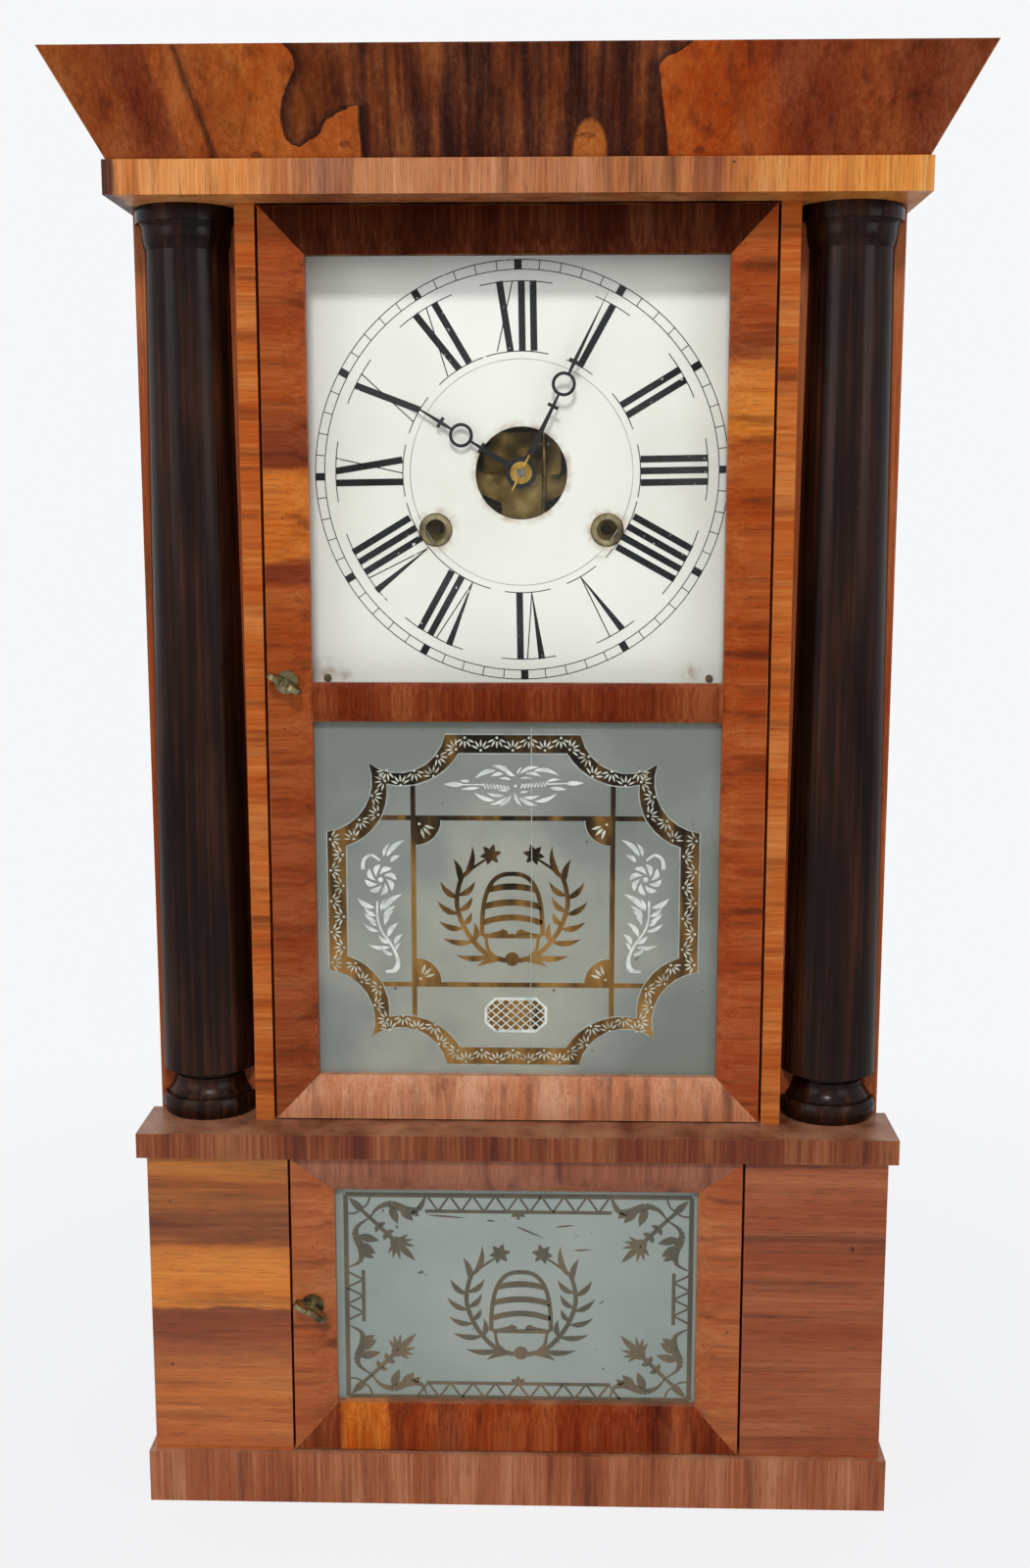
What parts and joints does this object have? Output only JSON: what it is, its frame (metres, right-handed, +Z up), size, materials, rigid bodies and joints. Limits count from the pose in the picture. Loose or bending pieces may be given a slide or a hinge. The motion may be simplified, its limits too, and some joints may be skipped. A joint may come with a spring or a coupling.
{
  "type": "shelf clock",
  "caption": "Weight-driven shelf clock: mahogany case with flared cornice and half columns, glazed dial door over an etched tablet, small lower door, pendulum and striking movement",
  "frame": {"origin": "on the floor plane, under the middle of the clock's width and depth", "axes": "+Z up, the dial faces -Y, +X to the right as the dial is read"},
  "size_m": [0.3788, 0.115, 0.635],
  "materials": {
    "mahogany": "gloss",
    "dark_column": "gloss",
    "pine": "matte",
    "clear_glass": "polished",
    "frosted_glass": "frosted",
    "painted_dial": "aged gloss paint",
    "brass": "aged",
    "black_steel": "satin black",
    "steel": "satin",
    "iron": "rough"
  },
  "bodies": {
    "case": {"side_board_left": "mahogany", "side_board_right": "mahogany", "base_moulding": "mahogany", "lower_panel_left": "mahogany", "lower_panel_right": "mahogany", "mid_shelf": "mahogany", "top_board": "mahogany", "cornice_front": "mahogany", "cornice_return_left": "mahogany", "cornice_return_right": "mahogany", "face_board_left": "mahogany", "face_board_right": "mahogany", "jamb_left": "mahogany", "jamb_right": "mahogany", "column_left": "dark_column", "column_right": "dark_column", "backboard": "pine", "bottom_board": "pine", "inner_rail_left": "pine", "inner_rail_right": "pine", "dial": "painted_dial", "dial_fittings": "brass", "front_plate": "brass", "back_plate": "brass", "gong": "iron"},
    "upper_door": {"upper_stile_left": "mahogany", "upper_stile_right": "mahogany", "upper_top_rail": "mahogany", "upper_middle_rail": "mahogany", "upper_bottom_rail": "mahogany", "dial_glass": "clear_glass", "upper_tablet": "frosted_glass"},
    "upper_latch": {"upper_latch": "brass"},
    "lower_door": {"lower_stile_left": "mahogany", "lower_stile_right": "mahogany", "lower_top_rail": "mahogany", "lower_bottom_rail": "mahogany", "lower_tablet": "frosted_glass"},
    "lower_latch": {"lower_latch": "brass"},
    "minute": {"minute_arbor": "steel", "minute_hand": "black_steel", "hand_collet": "brass"},
    "hour": {"hour_wheel": "brass", "hour_hand": "black_steel"},
    "motion": {"motion_wheel": "brass"},
    "third": {"third_wheel": "brass"},
    "second": {"second_wheel": "brass"},
    "minute_gear": {"minute_gear": "brass"},
    "time_drum": {"time_drum": "brass"},
    "escape": {"escape_wheel": "brass"},
    "pin_wheel": {"pin_wheel": "brass"},
    "strike_drum": {"strike_drum": "brass"},
    "fly": {"fly": "brass"},
    "pendulum": {"pendulum": "brass"},
    "verge": {"verge": "steel"},
    "hammer": {"hammer": "steel"},
    "time_weight": {"time_weight": "iron"},
    "strike_weight": {"strike_weight": "iron"},
    "pulley_left": {"pulley_left": "iron"},
    "pulley_right": {"pulley_right": "iron"}
  },
  "joints": [
    {"name": "upper_door_hinge", "type": "hinge", "parent": "case", "child": "upper_door", "pos_m": [0.1061, -0.01485, 0.3796], "axis": [0, 0, 1], "range_deg": [0, 105]},
    {"name": "upper_latch_turn", "type": "hinge", "parent": "upper_door", "child": "upper_latch", "pos_m": [-0.1013, -0.01, 0.3788], "axis": [0, -1, 0], "range_deg": [0, 90]},
    {"name": "lower_door_hinge", "type": "hinge", "parent": "case", "child": "lower_door", "pos_m": [0.0979, -0.03185, 0.09545], "axis": [0, 0, 1], "range_deg": [0, 105]},
    {"name": "lower_latch_turn", "type": "hinge", "parent": "lower_door", "child": "lower_latch", "pos_m": [-0.0926, -0.03, 0.0958], "axis": [0, -1, 0], "range_deg": [0, 90]},
    {"name": "minute_turn", "type": "hinge", "parent": "case", "child": "minute", "pos_m": [0.0015, 0.02, 0.4697], "axis": [0, 1, 0], "continuous": true},
    {"name": "hour_turn", "type": "hinge", "parent": "case", "child": "hour", "pos_m": [0.0015, 0.02, 0.4697], "axis": [0, 1, 0], "continuous": true},
    {"name": "motion_turn", "type": "hinge", "parent": "case", "child": "motion", "pos_m": [0.0015, 0.02, 0.4597], "axis": [0, 1, 0], "continuous": true},
    {"name": "third_turn", "type": "hinge", "parent": "case", "child": "third", "pos_m": [-0.00874, 0.02, 0.49623], "axis": [0, 1, 0], "continuous": true},
    {"name": "second_turn", "type": "hinge", "parent": "case", "child": "second", "pos_m": [-0.0225, 0.02, 0.47657], "axis": [0, 1, 0], "continuous": true},
    {"name": "minute_gear_turn", "type": "hinge", "parent": "case", "child": "minute_gear", "pos_m": [0.0015, 0.02, 0.4697], "axis": [0, 1, 0], "continuous": true},
    {"name": "time_drum_turn", "type": "hinge", "parent": "case", "child": "time_drum", "pos_m": [-0.03665, 0.02, 0.4448], "axis": [0, 1, 0], "continuous": true},
    {"name": "escape_turn", "type": "hinge", "parent": "case", "child": "escape", "pos_m": [0.01149, 0.02, 0.5087], "axis": [0, 1, 0], "continuous": true},
    {"name": "pin_wheel_turn", "type": "hinge", "parent": "case", "child": "pin_wheel", "pos_m": [0.02548, 0.02, 0.4741], "axis": [0, 1, 0], "continuous": true},
    {"name": "strike_drum_turn", "type": "hinge", "parent": "case", "child": "strike_drum", "pos_m": [0.03965, 0.02, 0.4448], "axis": [0, 1, 0], "continuous": true},
    {"name": "fly_turn", "type": "hinge", "parent": "case", "child": "fly", "pos_m": [0.03293, 0.02, 0.49457], "axis": [0, 1, 0], "continuous": true},
    {"name": "pendulum_swing", "type": "hinge", "parent": "case", "child": "pendulum", "pos_m": [0.01149, 0.02, 0.5272], "axis": [0, 1, 0], "range_deg": [-4, 4]},
    {"name": "verge_rock", "type": "hinge", "parent": "case", "child": "verge", "pos_m": [0.01149, 0.02, 0.5272], "axis": [0, 1, 0], "range_deg": [-4, 4]},
    {"name": "hammer_lift", "type": "hinge", "parent": "case", "child": "hammer", "pos_m": [0.0115, 0.02, 0.4257], "axis": [0, -1, 0], "range_deg": [0, 12]},
    {"name": "time_weight_rise", "type": "slide", "parent": "case", "child": "time_weight", "axis": [0, 0, 1], "range_m": [0, 0.35]},
    {"name": "strike_weight_rise", "type": "slide", "parent": "case", "child": "strike_weight", "axis": [0, 0, 1], "range_m": [0, 0.35]},
    {"name": "left_pulley_turn", "type": "hinge", "parent": "case", "child": "pulley_left", "pos_m": [-0.1251, 0.02805, 0.5614], "axis": [0, 1, 0], "continuous": true},
    {"name": "right_pulley_turn", "type": "hinge", "parent": "case", "child": "pulley_right", "pos_m": [0.1251, 0.02805, 0.5614], "axis": [0, 1, 0], "continuous": true}
  ],
  "couplings": [
    {"joint": "motion_turn", "follows": "minute_turn", "ratio": -0.33333},
    {"joint": "hour_turn", "follows": "minute_turn", "ratio": 0.083333},
    {"joint": "second_turn", "follows": "third_turn", "ratio": -0.1},
    {"joint": "minute_gear_turn", "follows": "third_turn", "ratio": 0.1},
    {"joint": "time_drum_turn", "follows": "third_turn", "ratio": 0.015625},
    {"joint": "escape_turn", "follows": "third_turn", "ratio": -8},
    {"joint": "strike_drum_turn", "follows": "pin_wheel_turn", "ratio": -0.16667},
    {"joint": "fly_turn", "follows": "pin_wheel_turn", "ratio": -8.5714},
    {"joint": "verge_rock", "follows": "pendulum_swing", "ratio": 1}
  ]
}
